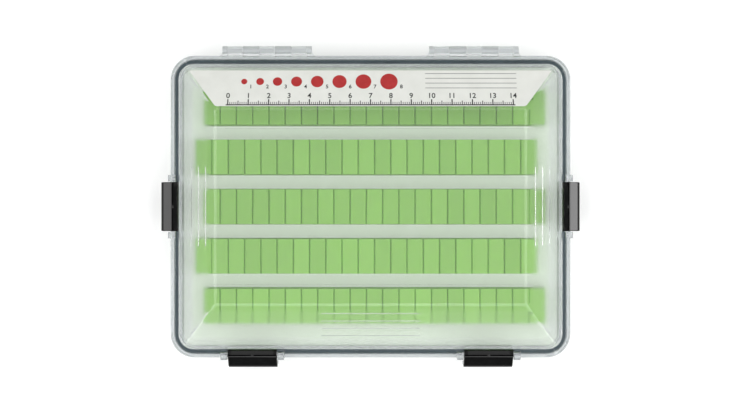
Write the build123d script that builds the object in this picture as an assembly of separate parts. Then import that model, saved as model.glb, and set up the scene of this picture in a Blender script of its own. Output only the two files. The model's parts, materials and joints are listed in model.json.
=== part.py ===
from build123d import *
import os
from math import cos, floor, radians, sin, tan

# Slotted tackle box with a hinged lid, in millimetres.
# The origin is the centre of the underside: +X right, +Y to the hinges at the rear, +Z up.

# Rim, the outline where tray and lid meet
RIM_LENGTH = 200.0
RIM_DEPTH = 151.0
RIM_CORNER = 12.0
RIM_EDGE_ROUND = 0.5
SHARPEST_CORNER = 1.0

# Tray
TRAY_HEIGHT = 21.0
TRAY_WALL = 1.8
TRAY_FLOOR = 1.8
TRAY_FLANGE = 3.6
TRAY_DRAFT = 2.0
TRAY_FOOT_ROUND = 2.5
TRAY_INNER_ROUND = 1.2

# Seal between tray and lid
SEAL_LAND = 1.5
GROOVE_WIDTH = 2.8
GROOVE_DEPTH = 2.4
GASKET_HEIGHT = 1.7
GASKET_SIDE_CLEARANCE = 0.1
GASKET_ROUND = 0.5
TONGUE_WIDTH = 1.4
PARTING_GAP = 0.2

# Lid
LID_FLANGE = 2.2
LID_WALL = 1.6
LID_WALL_INSET = 4.7
LID_WALL_HEIGHT = 4.6
LID_SHOULDER_ROUND = 1.0
LEDGE_SIDE = 3.3
LEDGE_FRONT = 2.3
BEVEL_RUN_SIDE = 15.5
BEVEL_RUN_FRONT = 20.5
BEVEL_RISE = 7.0
BEVEL_ROUND = 6.6

# Grip ribs on the bevels
RIB_WIDTH = 0.9
RIB_HEIGHT = 0.45
RIB_PITCH = 3.75
RIB_PANEL_DISTANCE = 4.9
SIDE_RIB_COUNT = 3
FRONT_RIB_COUNT = 4
RIB_LENGTH_SIDE = 39.0
RIB_LENGTH_FRONT = 48.5

# Slotted strips and the rails that hold them
ROW_PITCH = 25.4
STRIP_WIDTH = 18.4
STRIP_HEIGHT = 9.0
STRIP_SIDE_SLOPE = 0.4
STRIP_TOP_ROUND = 1.0
STRIP_END_ROOM = 3.0
STRIP_CLEARANCE = 0.1
SLOT_PITCH = 8.3
SLOT_WIDTH = 0.45
SLOT_DEPTH = 6.0
SLOT_MOUTH_WIDTH = 1.2
SLOT_MOUTH_DEPTH = 0.5
RAIL_WIDTH = 1.1
RAIL_HEIGHT = 2.6
RAIL_BEAD = 0.5

# Latches
LATCH_WIDTH = 24.5
LATCH_TAPER = 0.6
LATCH_SKIN = 1.8
LATCH_REACH = 5.0
LATCH_TOP_REACH = 4.4
LATCH_TOP_ANGLE = 36.0
LATCH_DROP = 13.0
LATCH_SHOULDER_ROUND = 2.2
LATCH_CORNER_ROUND = 3.0
LATCH_KNUCKLE = 2.0
LATCH_PIN_DIAMETER = 1.6
LATCH_CLEARANCE = 0.3
FRONT_LATCH_END_DISTANCE = 41.2
HOOK_CATCH = 1.0
HOOK_THICKNESS = 1.6
HOOK_WIDTH = 18.0
HOOK_FACE_FALL = 0.2
EAR_WIDTH = 3.2
EAR_REACH = 0.8
EAR_RISE = 2.3
EAR_ROUND = 2.2

# Hinges
HINGE_END_DISTANCE = 48.2
HINGE_KNUCKLE = 2.3
HINGE_RIM_CLEARANCE = 0.4
HINGE_PIN_DIAMETER = 2.0
HINGE_SIDE_CLEARANCE = 0.2
LID_KNUCKLE_WIDTH = 7.5
LID_KNUCKLE_PITCH = 16.1
LID_KNUCKLE_COUNT = 3
END_EAR_WIDTH = 2.3
END_EAR_FLARE = 1.7

# Running fit of a turning piece on its pin, radial
PIN_RUNNING = 0.06

# Sticker on the rear bevel
LABEL_THICKNESS = 0.25
LABEL_MARGIN = 1.2

# Heights and insets that follow from the sizes above
FLANGE_BOTTOM = TRAY_HEIGHT - TRAY_FLANGE
GROOVE_FLOOR = TRAY_HEIGHT - GROOVE_DEPTH
GASKET_TOP = GROOVE_FLOOR + GASKET_HEIGHT
WALL_INSET = SEAL_LAND + GROOVE_WIDTH
HOLLOW_INSET = WALL_INSET + TRAY_WALL
LID_BOTTOM = TRAY_HEIGHT + PARTING_GAP
LID_FLANGE_TOP = LID_BOTTOM + LID_FLANGE
LID_SHOULDER = LID_FLANGE_TOP + LID_WALL_HEIGHT
LID_TOP = LID_SHOULDER + BEVEL_RISE
LID_HOLLOW_INSET = LID_WALL_INSET + LID_WALL
BEVEL_LENGTH = RIM_LENGTH - 2 * (LID_WALL_INSET + LEDGE_SIDE)
BEVEL_DEPTH = RIM_DEPTH - 2 * (LID_WALL_INSET + LEDGE_FRONT)
PANEL_LENGTH = BEVEL_LENGTH - 2 * BEVEL_RUN_SIDE
PANEL_DEPTH = BEVEL_DEPTH - 2 * BEVEL_RUN_FRONT
LATCH_PIN_INSET = LID_WALL_INSET - LATCH_CLEARANCE - LATCH_KNUCKLE
LATCH_PIN_Z = LID_FLANGE_TOP + LATCH_CLEARANCE + LATCH_KNUCKLE
LATCH_PIN_LENGTH = LATCH_WIDTH + 2 * (LATCH_CLEARANCE + EAR_WIDTH)
HINGE_AXIS_OUT = HINGE_KNUCKLE + HINGE_RIM_CLEARANCE
HINGE_AXIS_Z = TRAY_HEIGHT + PARTING_GAP / 2
FLOOR_SHRINK = (TRAY_HEIGHT - TRAY_FLOOR) * tan(radians(TRAY_DRAFT))
FLOOR_LENGTH = RIM_LENGTH - 2 * (HOLLOW_INSET + FLOOR_SHRINK)
FLOOR_DEPTH = RIM_DEPTH - 2 * (HOLLOW_INSET + FLOOR_SHRINK)

# Rows and slots that fit on the floor
ROWS = floor(FLOOR_DEPTH / ROW_PITCH)
ROW_STAGGER = SLOT_PITCH / 4
STRIP_ROOM = FLOOR_LENGTH - 2 * (STRIP_END_ROOM + ROW_STAGGER)
STRIP_BLOCKS = floor(STRIP_ROOM / SLOT_PITCH)
STRIP_LENGTH = STRIP_BLOCKS * SLOT_PITCH
ROW_PLACES = [
    ((1 if row % 2 == 0 else -1) * ROW_STAGGER, ((ROWS - 1) / 2 - row) * ROW_PITCH)
    for row in range(ROWS)
]

# Places of the latches on the rim: each faces away from the box along its own -Y
LATCH_PLACES = {
    "left": Pos(-RIM_LENGTH / 2, 0, 0) * Rot(0, 0, -90),
    "right": Pos(RIM_LENGTH / 2, 0, 0) * Rot(0, 0, 90),
    "front_left": Pos(FRONT_LATCH_END_DISTANCE - RIM_LENGTH / 2, -RIM_DEPTH / 2, 0),
    "front_right": Pos(RIM_LENGTH / 2 - FRONT_LATCH_END_DISTANCE, -RIM_DEPTH / 2, 0),
}

# Places of the hinges along the rear rim
HINGE_PLACES = {
    "left": Pos(HINGE_END_DISTANCE - RIM_LENGTH / 2, RIM_DEPTH / 2, 0),
    "right": Pos(RIM_LENGTH / 2 - HINGE_END_DISTANCE, RIM_DEPTH / 2, 0),
}

# Section planes across the rim: sketch x points out of the box, sketch y up
LATCH_SECTION = Plane(origin=(0, 0, 0), x_dir=(0, -1, 0), z_dir=(-1, 0, 0))
HINGE_SECTION = Plane(origin=(0, 0, 0), x_dir=(0, 1, 0), z_dir=(1, 0, 0))
STRIP_SECTION = HINGE_SECTION


def rim_outline(inset):
    """Rim's outline at an inset; corners inside the rim stay round enough to mould."""
    corner = max(RIM_CORNER - inset, SHARPEST_CORNER)
    return RectangleRounded(RIM_LENGTH - 2 * inset, RIM_DEPTH - 2 * inset, corner)


def rim_block(inset, bottom, top):
    """Block between two heights whose outline follows the rim at an inset."""
    return extrude(Plane.XY.offset(bottom) * rim_outline(inset), top - bottom)


def rim_ring(outer_inset, inner_inset, bottom, top):
    """Ring that follows the rim between two insets."""
    return rim_block(outer_inset, bottom, top) - rim_block(inner_inset, bottom, top)


def drafted_block(inset, bottom):
    """Block from the parting plane down, drawn in by the mould draft on its way."""
    top = Plane.XY.offset(TRAY_HEIGHT) * rim_outline(inset)
    return extrude(top, bottom - TRAY_HEIGHT, taper=TRAY_DRAFT)


def bottom_edges(solid):
    return solid.faces().sort_by(Axis.Z)[0].edges()


def top_edges(solid):
    return solid.faces().sort_by(Axis.Z)[-1].edges()


def x_cylinder(radius, length, out, height, outward):
    """Cylinder along X, centred on the middle of its place."""
    return Pos(0, out * outward, height) * Rot(0, 90, 0) * Cylinder(radius, length)


def slice_along_x(section, start, end, plane):
    """Section on a plane across X, made solid from start to end along X."""
    return Pos((start + end) / 2, 0, 0) * extrude(plane * section, (end - start) / 2, both=True)


# Hinge layout along X, from the middle of the hinge
def lid_knuckle_spans():
    first = -(LID_KNUCKLE_COUNT - 1) / 2 * LID_KNUCKLE_PITCH
    middles = [first + index * LID_KNUCKLE_PITCH for index in range(LID_KNUCKLE_COUNT)]
    return [(middle - LID_KNUCKLE_WIDTH / 2, middle + LID_KNUCKLE_WIDTH / 2) for middle in middles]


def tray_knuckle_spans():
    lid_spans = lid_knuckle_spans()
    between = [
        (left[1] + HINGE_SIDE_CLEARANCE, right[0] - HINGE_SIDE_CLEARANCE)
        for left, right in zip(lid_spans, lid_spans[1:])
    ]
    first = lid_spans[0][0] - HINGE_SIDE_CLEARANCE
    last = lid_spans[-1][1] + HINGE_SIDE_CLEARANCE
    return [(first - END_EAR_WIDTH, first)] + between + [(last, last + END_EAR_WIDTH)]


HINGE_WIDTH = tray_knuckle_spans()[-1][1] - tray_knuckle_spans()[0][0]


def knuckle(span, arm_bottom, arm_top, root):
    """One hinge knuckle with the arm that joins it to the flange."""
    eye = Pos(HINGE_AXIS_OUT, HINGE_AXIS_Z) * Circle(HINGE_KNUCKLE)
    arm = Pos((HINGE_AXIS_OUT - root) / 2, (arm_bottom + arm_top) / 2) * Rectangle(
        HINGE_AXIS_OUT + root, arm_top - arm_bottom
    )
    return slice_along_x(eye + arm, span[0], span[1], HINGE_SECTION)


def tray_knuckles():
    """Tray half of one hinge: two knuckles between the lid's and an ear at each end."""
    spans = tray_knuckle_spans()
    arm_bottom = HINGE_AXIS_Z - HINGE_KNUCKLE
    pieces = [knuckle(span, arm_bottom, TRAY_HEIGHT, SEAL_LAND / 2) for span in spans]
    for side in (-1, 1):
        edge = side * HINGE_WIDTH / 2
        flare = Polygon(
            (edge, -SEAL_LAND / 2), (edge + side * END_EAR_FLARE, -SEAL_LAND / 2), (edge, HINGE_AXIS_OUT),
            align=None,
        )
        pieces.append(extrude(Plane.XY.offset(arm_bottom) * flare, TRAY_HEIGHT - arm_bottom, dir=(0, 0, 1)))
    bore = x_cylinder(HINGE_PIN_DIAMETER / 2, HINGE_WIDTH, HINGE_AXIS_OUT, HINGE_AXIS_Z, 1)
    return Part() + pieces - bore


def lid_knuckles():
    """Lid half of one hinge."""
    arm_top = HINGE_AXIS_Z + HINGE_KNUCKLE
    pieces = [knuckle(span, LID_BOTTOM, arm_top, SEAL_LAND / 2) for span in lid_knuckle_spans()]
    bore = x_cylinder(
        HINGE_PIN_DIAMETER / 2 + PIN_RUNNING, HINGE_WIDTH, HINGE_AXIS_OUT, HINGE_AXIS_Z, 1
    )
    return Part() + pieces - bore


def strip_rails():
    """Pair of snap rails on the floor, with a bead along the top of each."""
    inner = STRIP_WIDTH / 2 + STRIP_CLEARANCE
    section = Polygon(
        (inner, 0), (inner + RAIL_WIDTH, 0), (inner + RAIL_WIDTH, RAIL_HEIGHT),
        (inner - RAIL_BEAD, RAIL_HEIGHT), (inner - RAIL_BEAD, RAIL_HEIGHT - RAIL_BEAD),
        (inner, RAIL_HEIGHT - 2 * RAIL_BEAD),
        align=None,
    )
    rail = slice_along_x(section, -STRIP_LENGTH / 2, STRIP_LENGTH / 2, STRIP_SECTION)
    return [rail, mirror(rail, about=Plane.XZ)]


def make_tray():
    flange = rim_block(0, FLANGE_BOTTOM, TRAY_HEIGHT)
    flange = fillet(top_edges(flange) + bottom_edges(flange), RIM_EDGE_ROUND)
    body = drafted_block(WALL_INSET, 0)
    body = fillet(bottom_edges(body), TRAY_FOOT_ROUND)
    hollow = drafted_block(HOLLOW_INSET, TRAY_FLOOR)
    hollow = fillet(bottom_edges(hollow), TRAY_INNER_ROUND)
    groove = rim_ring(SEAL_LAND, WALL_INSET, GROOVE_FLOOR, TRAY_HEIGHT)
    tray = flange + body - hollow - groove
    tray += [Pos(x, y, TRAY_FLOOR) * rail for x, y in ROW_PLACES for rail in strip_rails()]
    tray += [place * tray_knuckles() for place in HINGE_PLACES.values()]
    return tray


def bevel_block(drop):
    """Block under the four bevels and the panel, lowered by drop."""
    lower = Plane.XY.offset(LID_SHOULDER - drop) * Rectangle(BEVEL_LENGTH, BEVEL_DEPTH)
    upper = Plane.XY.offset(LID_TOP - drop) * Rectangle(PANEL_LENGTH, PANEL_DEPTH)
    return loft([lower, upper], ruled=True)


def bevel_plane(side):
    """Plane on the middle of a bevel's foot: x along the box's edge, y up the slope, z outwards."""
    if side in ("left", "right"):
        run, foot = BEVEL_RUN_SIDE, BEVEL_LENGTH / 2
    else:
        run, foot = BEVEL_RUN_FRONT, BEVEL_DEPTH / 2
    out_x, out_y = {"left": (-1, 0), "right": (1, 0), "front": (0, -1), "rear": (0, 1)}[side]
    return Plane(
        origin=(out_x * foot, out_y * foot, LID_SHOULDER),
        x_dir=(-out_y, out_x, 0),
        z_dir=(out_x * BEVEL_RISE, out_y * BEVEL_RISE, run),
    )


def slope_length(run):
    return (run ** 2 + BEVEL_RISE ** 2) ** 0.5


def grip_ribs(side, count, length, run):
    """Low ribs along one bevel, counted from the panel down."""
    scale = slope_length(run) / run
    ribs = []
    for index in range(count):
        up_slope = slope_length(run) - (RIB_PANEL_DISTANCE + index * RIB_PITCH) * scale
        bar = extrude(SlotOverall(length, RIB_WIDTH), RIB_HEIGHT + LID_WALL / 2)
        ribs.append(bevel_plane(side) * Pos(0, up_slope, -LID_WALL / 2) * bar)
    return ribs


def latch_ears():
    """Pair of ears that carry one latch pin, in the latch's own place."""
    root = LID_WALL_INSET + LID_WALL / 2
    section = Pos((EAR_REACH - root) / 2, (LID_BOTTOM + LATCH_PIN_Z + EAR_RISE) / 2) * Rectangle(
        EAR_REACH + root, LATCH_PIN_Z + EAR_RISE - LID_BOTTOM
    )
    outer_top = section.vertices().sort_by_distance((EAR_REACH, LATCH_PIN_Z + EAR_RISE, 0))[0]
    section = fillet(outer_top, EAR_ROUND)
    inner_face = LATCH_WIDTH / 2 + LATCH_CLEARANCE
    ears = [
        slice_along_x(section, inner_face, inner_face + EAR_WIDTH, LATCH_SECTION),
        slice_along_x(section, -inner_face - EAR_WIDTH, -inner_face, LATCH_SECTION),
    ]
    bore = x_cylinder(LATCH_PIN_DIAMETER / 2, LATCH_PIN_LENGTH, -LATCH_PIN_INSET, LATCH_PIN_Z, -1)
    return Part() + ears - bore


def make_lid():
    flange = rim_block(0, LID_BOTTOM, LID_FLANGE_TOP)
    flange = fillet(top_edges(flange), RIM_EDGE_ROUND)
    wall = rim_block(LID_WALL_INSET, LID_FLANGE_TOP, LID_SHOULDER)
    wall = fillet(top_edges(wall), LID_SHOULDER_ROUND)
    bevel = bevel_block(0)
    bevel = fillet(bevel.edges() - bottom_edges(bevel), BEVEL_ROUND)
    side_slope = slope_length(BEVEL_RUN_SIDE) / BEVEL_RUN_SIDE
    drop = LID_WALL * side_slope
    under_shoulder = LID_SHOULDER - drop
    hollow = rim_block(LID_HOLLOW_INSET, LID_BOTTOM, under_shoulder)
    hollow += bevel_block(drop) & rim_block(LID_HOLLOW_INSET, under_shoulder, LID_TOP)
    tongue_inset = SEAL_LAND + (GROOVE_WIDTH - TONGUE_WIDTH) / 2
    tongue = rim_ring(tongue_inset, tongue_inset + TONGUE_WIDTH, GASKET_TOP, LID_BOTTOM)
    lid = flange + wall + bevel - hollow + tongue
    lid += grip_ribs("left", SIDE_RIB_COUNT, RIB_LENGTH_SIDE, BEVEL_RUN_SIDE)
    lid += grip_ribs("right", SIDE_RIB_COUNT, RIB_LENGTH_SIDE, BEVEL_RUN_SIDE)
    lid += grip_ribs("front", FRONT_RIB_COUNT, RIB_LENGTH_FRONT, BEVEL_RUN_FRONT)
    lid += [place * latch_ears() for place in LATCH_PLACES.values()]
    lid += [place * lid_knuckles() for place in HINGE_PLACES.values()]
    return lid


def make_gasket():
    outer = SEAL_LAND + GASKET_SIDE_CLEARANCE
    inner = WALL_INSET - GASKET_SIDE_CLEARANCE
    ring = rim_ring(outer, inner, GROOVE_FLOOR, GASKET_TOP)
    return fillet(top_edges(ring), GASKET_ROUND)


def make_strip():
    """One strip on z = 0, with snap grooves for the rails and a row of slits."""
    half = STRIP_WIDTH / 2
    groove = half - RAIL_BEAD - STRIP_CLEARANCE
    groove_bottom = RAIL_HEIGHT - 2 * RAIL_BEAD - STRIP_CLEARANCE
    groove_top = RAIL_HEIGHT + STRIP_CLEARANCE
    right_side = [
        (half, 0), (half, groove_bottom), (groove, groove_bottom), (groove, groove_top),
        (half, groove_top), (half - STRIP_SIDE_SLOPE, STRIP_HEIGHT),
    ]
    left_side = [(-y, z) for y, z in reversed(right_side)]
    section = Polygon(*right_side, *left_side, align=None)
    shoulders = section.vertices().group_by(Axis.Y)[-1]
    section = fillet(shoulders, STRIP_TOP_ROUND)
    strip = slice_along_x(section, -STRIP_LENGTH / 2, STRIP_LENGTH / 2, STRIP_SECTION)
    slit_section = Polygon(
        (-SLOT_MOUTH_WIDTH / 2, STRIP_HEIGHT), (SLOT_MOUTH_WIDTH / 2, STRIP_HEIGHT),
        (SLOT_WIDTH / 2, STRIP_HEIGHT - SLOT_MOUTH_DEPTH), (SLOT_WIDTH / 2, STRIP_HEIGHT - SLOT_DEPTH),
        (-SLOT_WIDTH / 2, STRIP_HEIGHT - SLOT_DEPTH), (-SLOT_WIDTH / 2, STRIP_HEIGHT - SLOT_MOUTH_DEPTH),
        align=None,
    )
    slit = extrude(Plane.XZ * slit_section, half, both=True)
    first = -STRIP_LENGTH / 2 + SLOT_PITCH
    return strip - [Pos(first + index * SLOT_PITCH, 0, 0) * slit for index in range(STRIP_BLOCKS - 1)]


def latch_section():
    """Section of a latch: knuckle, sloping top and front skin."""
    angle = radians(LATCH_TOP_ANGLE)
    pin_x, pin_z = -LATCH_PIN_INSET, LATCH_PIN_Z
    start_x = pin_x + LATCH_KNUCKLE * sin(angle)
    start_z = pin_z + LATCH_KNUCKLE * cos(angle)
    shoulder_z = start_z - (LATCH_TOP_REACH - start_x) * tan(angle)
    foot_z = TRAY_HEIGHT - LATCH_DROP
    under_drop = LATCH_SKIN / cos(angle)
    inner_x = LATCH_TOP_REACH - LATCH_SKIN
    inner_z = start_z - (inner_x - start_x) * tan(angle) - under_drop
    outline = Polygon(
        (start_x, start_z), (LATCH_TOP_REACH, shoulder_z), (LATCH_REACH, foot_z),
        (LATCH_REACH - LATCH_SKIN, foot_z), (inner_x, inner_z), (pin_x, pin_z),
        align=None,
    )
    shoulder = outline.vertices().sort_by_distance((LATCH_TOP_REACH, shoulder_z, 0))[0]
    outline = fillet(shoulder, LATCH_SHOULDER_ROUND)
    return outline + Pos(pin_x, pin_z) * Circle(LATCH_KNUCKLE)


def hook_section():
    """Section of the hook that reaches from the front skin under the tray's flange."""
    face_z = FLANGE_BOTTOM - LATCH_CLEARANCE
    root_x = LATCH_REACH - LATCH_SKIN
    return Polygon(
        (root_x, face_z), (0, face_z), (-HOOK_CATCH, face_z - HOOK_FACE_FALL),
        (-HOOK_CATCH, face_z - HOOK_THICKNESS), (root_x, face_z - 2 * HOOK_THICKNESS),
        align=None,
    )


def make_latch():
    """One latch in its own place: the rim's edge at the origin, outwards along -Y."""
    half = LATCH_WIDTH / 2
    foot_half = half - LATCH_TAPER
    foot_z = TRAY_HEIGHT - LATCH_DROP
    head_z = LATCH_PIN_Z + LATCH_KNUCKLE
    latch = slice_along_x(latch_section(), -half, half, LATCH_SECTION)
    latch += slice_along_x(hook_section(), -HOOK_WIDTH / 2, HOOK_WIDTH / 2, LATCH_SECTION)
    front = Polygon(
        (-foot_half, foot_z), (foot_half, foot_z), (half, LID_BOTTOM), (half, head_z), (-half, head_z),
        (-half, LID_BOTTOM),
        align=None,
    )
    front = fillet(front.vertices().group_by(Axis.Y)[0], LATCH_CORNER_ROUND)
    latch &= extrude(Plane.XZ * front, LATCH_REACH + LATCH_PIN_INSET + LATCH_KNUCKLE, both=True)
    bore = x_cylinder(LATCH_PIN_DIAMETER / 2 + PIN_RUNNING, LATCH_WIDTH, -LATCH_PIN_INSET, LATCH_PIN_Z, -1)
    return latch - bore


def make_latch_pin():
    return x_cylinder(LATCH_PIN_DIAMETER / 2, LATCH_PIN_LENGTH, -LATCH_PIN_INSET, LATCH_PIN_Z, -1)


def make_hinge_pin():
    return x_cylinder(HINGE_PIN_DIAMETER / 2, HINGE_WIDTH, HINGE_AXIS_OUT, HINGE_AXIS_Z, 1)


def make_label():
    """Sticker that fills the rear bevel up to a margin."""
    height = slope_length(BEVEL_RUN_FRONT)
    draw_in = BEVEL_RUN_SIDE / height
    low, high = LABEL_MARGIN, height - LABEL_MARGIN
    half_low = BEVEL_LENGTH / 2 - LABEL_MARGIN - low * draw_in
    half_high = BEVEL_LENGTH / 2 - LABEL_MARGIN - high * draw_in
    outline = Polygon((-half_low, low), (half_low, low), (half_high, high), (-half_high, high), align=None)
    return bevel_plane("rear") * extrude(outline, LABEL_THICKNESS)


def make_parts():
    parts = {"base_tray": make_tray(), "lid": make_lid(), "lid_gasket": make_gasket()}
    latch, latch_pin = make_latch(), make_latch_pin()
    for name, place in LATCH_PLACES.items():
        parts["latch_" + name] = place * latch
        parts["latch_pin_" + name] = place * latch_pin
    hinge_pin = make_hinge_pin()
    for name, place in HINGE_PLACES.items():
        parts["hinge_pin_" + name] = place * hinge_pin
    strip = make_strip()
    for row, (x, y) in enumerate(ROW_PLACES, start=1):
        parts[f"slot_strip_{row}"] = Pos(x, y, TRAY_FLOOR) * strip
    parts["label"] = make_label()
    return parts


os.makedirs("parts", exist_ok=True)
for node_name, node in make_parts().items():
    export_step(node, f"parts/{node_name}.step")
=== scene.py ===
# %% [markdown]
# A clear tackle box for jigs: a tray and a lid moulded in clear plastic, a dark seal between them, five
# soft green strips with slits, four black snap latches and a sticker on the rear bevel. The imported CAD
# parts are loaded first and hold every size and place. The pins keep their CAD meshes and only get a
# finish. The clear mouldings, the latches, the seal, the strips and the sticker get new meshes here, with
# the small roundings and marks that catch the light on the real box.

# %% Load the frame
import json
import math
import random

import bmesh
import bpy
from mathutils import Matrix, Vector

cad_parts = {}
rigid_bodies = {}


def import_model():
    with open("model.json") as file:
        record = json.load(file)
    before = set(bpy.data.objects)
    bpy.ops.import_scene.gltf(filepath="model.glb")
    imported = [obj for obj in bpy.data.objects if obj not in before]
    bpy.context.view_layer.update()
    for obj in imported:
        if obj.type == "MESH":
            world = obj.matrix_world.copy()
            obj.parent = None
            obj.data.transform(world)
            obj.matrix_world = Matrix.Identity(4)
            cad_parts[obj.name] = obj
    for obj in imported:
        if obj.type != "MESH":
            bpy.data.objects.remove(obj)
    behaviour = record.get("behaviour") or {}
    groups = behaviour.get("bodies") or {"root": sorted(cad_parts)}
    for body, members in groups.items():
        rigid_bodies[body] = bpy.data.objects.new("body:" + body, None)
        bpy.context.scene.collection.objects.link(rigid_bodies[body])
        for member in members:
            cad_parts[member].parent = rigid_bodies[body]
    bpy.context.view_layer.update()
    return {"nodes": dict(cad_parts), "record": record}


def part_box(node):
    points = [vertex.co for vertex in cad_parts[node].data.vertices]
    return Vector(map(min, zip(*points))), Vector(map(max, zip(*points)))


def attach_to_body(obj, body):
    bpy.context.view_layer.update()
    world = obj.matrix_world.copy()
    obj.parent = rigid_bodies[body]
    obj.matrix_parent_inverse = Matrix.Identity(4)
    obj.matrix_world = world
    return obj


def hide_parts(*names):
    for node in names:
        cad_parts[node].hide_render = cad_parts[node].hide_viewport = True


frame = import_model()
MM = 0.001

# %% [markdown]
# Modelling works as by hand: a primitive is added, then some of its faces or edges are picked and an
# edit-mode operator shapes them. In a script the picking is done by place, so one helper selects every
# vertex, edge or face whose corners all pass a test. Sizes are in millimetres, as in the CAD. NEAR is how
# close to a height or an edge a corner has to lie, and the two cosines say when an edge or a normal
# follows a direction.

# %% Helpers for modelling
NEAR = 0.01
EDGE_ALONG, FACE_TOWARDS = 0.99, 0.999


def deselect_all():
    """Leave edit mode and let go of everything, so that an operator acts on the new piece alone."""
    if bpy.context.object and bpy.context.object.mode != "OBJECT":
        bpy.ops.object.mode_set(mode="OBJECT")
    bpy.ops.object.select_all(action="DESELECT")


def hold(piece):
    """Make one piece the selected and active object."""
    deselect_all()
    piece.select_set(True)
    bpy.context.view_layer.objects.active = piece


def settle(piece):
    """Write a piece's place, turn and scale into its mesh."""
    hold(piece)
    bpy.ops.object.transform_apply(location=True, rotation=True, scale=True)
    return piece


def add_block(name, low, high):
    """A block between two corners."""
    deselect_all()
    low, high = Vector(low) * MM, Vector(high) * MM
    bpy.ops.mesh.primitive_cube_add(size=1.0, location=(low + high) / 2)
    block = bpy.context.object
    block.name = name
    block.scale = high - low
    return settle(block)


def anywhere(corner):
    """The test that every corner passes."""
    return True


def pick(piece, kind, test=anywhere, along=None, facing=None):
    """In edit mode, select each VERT, EDGE or FACE whose corners all pass a test.

    Edges can be kept to those along one axis, and faces to those that look one way.
    """
    hold(piece)
    bpy.ops.object.mode_set(mode="EDIT")
    bpy.ops.mesh.select_mode(type=kind)
    bpy.ops.mesh.select_all(action="DESELECT")
    shape = bmesh.from_edit_mesh(piece.data)
    for item in {"VERT": shape.verts, "EDGE": shape.edges, "FACE": shape.faces}[kind]:
        corners = [item.co] if kind == "VERT" else [corner.co for corner in item.verts]
        chosen = all(test(corner / MM) for corner in corners)
        if along is not None:
            chosen = chosen and abs((corners[1] - corners[0]).normalized()[along]) > EDGE_ALONG
        if facing is not None:
            chosen = chosen and item.normal.dot(facing) > FACE_TOWARDS
        if chosen:
            item.select_set(True)
    shape.select_flush_mode()
    bmesh.update_edit_mesh(piece.data)


def pull(way):
    """In edit mode, extrude what is picked along a way in metres."""
    bpy.ops.mesh.extrude_region_move(TRANSFORM_OT_translate={"value": way})


def face_outwards():
    """In edit mode, turn all faces of the piece outwards, and leave edit mode."""
    bpy.ops.mesh.select_all(action="SELECT")
    bpy.ops.mesh.normals_make_consistent(inside=False)
    deselect_all()


# %% [markdown]
# Modifiers do the rest: they are added with their values and applied at once. Three more helpers copy a
# piece, give it its finish, and let it ride on its body in place of the CAD nodes that it stands for.

# %% Helpers for modifiers and finished pieces
def apply_modifier(piece, kind, **values):
    """Add a modifier with these values and apply it."""
    hold(piece)
    modifier = piece.modifiers.new(kind.lower(), kind)
    for name, value in values.items():
        setattr(modifier, name, value)
    bpy.ops.object.modifier_apply(modifier=modifier.name)


def round_edges(piece, width, segments=2, angle=35.0):
    """Round all edges sharper than an angle."""
    apply_modifier(
        piece, "BEVEL", width=width * MM, segments=segments, limit_method="ANGLE",
        angle_limit=math.radians(angle), use_clamp_overlap=False, loop_slide=False,
        face_strength_mode="FSTR_ALL",
    )


def repeat_along_x(piece, count, pitch, **values):
    """Line up copies of a piece at a pitch."""
    apply_modifier(
        piece, "ARRAY", count=count, use_relative_offset=False, use_constant_offset=True,
        constant_offset_displace=(pitch * MM, 0, 0), **values,
    )


def smooth(piece, angle=40.0):
    """Shade curves smoothly, with large flat faces kept flat by weighted normals."""
    hold(piece)
    bpy.ops.object.shade_smooth_by_angle(angle=math.radians(angle))
    apply_modifier(piece, "WEIGHTED_NORMAL", weight=100, keep_sharp=True, use_face_influence=True)


def copy_of(piece, name):
    """A copy with a mesh of its own."""
    hold(piece)
    bpy.ops.object.duplicate()
    twin = bpy.context.object
    twin.name = name
    return twin


def coat(piece, finish):
    """Give a piece one finish all over."""
    piece.data.materials.clear()
    piece.data.materials.append(finish)


def attach(piece, body, slot, *nodes):
    """Let a finished piece ride on its body and stand for its CAD nodes."""
    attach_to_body(piece, body)
    if nodes:
        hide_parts(*nodes)
    print(piece.name, "rides on", body, "with", len(piece.data.polygons), "faces")


# %% [markdown]
# Every finish is a small node tree. A few helpers keep the trees readable: they add a node with its values,
# make noise on Object coordinates so that a pattern stays on its piece when the box opens, and calculate
# with what the nodes give.

# %% Helpers for nodes
def new_finish(name):
    """A material with its node tree and Principled shader."""
    material = bpy.data.materials.new(name)
    material.use_nodes = True
    return material, material.node_tree, material.node_tree.nodes["Principled BSDF"]


def add_node(tree, kind, **values):
    """A node whose inputs or properties take the given values."""
    node = tree.nodes.new("ShaderNode" + kind)
    for name, value in values.items():
        label = name.replace("_", " ")
        if label in node.inputs:
            node.inputs[label].default_value = value
        else:
            setattr(node, name, value)
    return node


def object_noise(tree, scale, detail=3.0, stretch=(1.0, 1.0, 1.0)):
    """Noise on Object coordinates in metres, stretched by a Mapping node."""
    place = add_node(tree, "TexCoord")
    mapping = add_node(tree, "Mapping", Scale=stretch)
    noise = add_node(tree, "TexNoise", Scale=scale, Detail=detail)
    tree.links.new(place.outputs["Object"], mapping.inputs["Vector"])
    tree.links.new(mapping.outputs["Vector"], noise.inputs["Vector"])
    return noise.outputs["Fac"]


def object_axes(tree):
    """X, Y and Z of the Object coordinates, each a socket."""
    place = add_node(tree, "TexCoord")
    parts = add_node(tree, "SeparateXYZ")
    tree.links.new(place.outputs["Object"], parts.inputs[0])
    return parts.outputs


def spread(tree, source, low, high, from_low=0.3, from_high=0.7):
    """Map one range of values onto another; 0.3 to 0.7 is where most of a noise lies."""
    node = add_node(tree, "MapRange", From_Min=from_low, From_Max=from_high, To_Min=low, To_Max=high)
    tree.links.new(source, node.inputs["Value"])
    return node.outputs["Result"]


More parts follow.
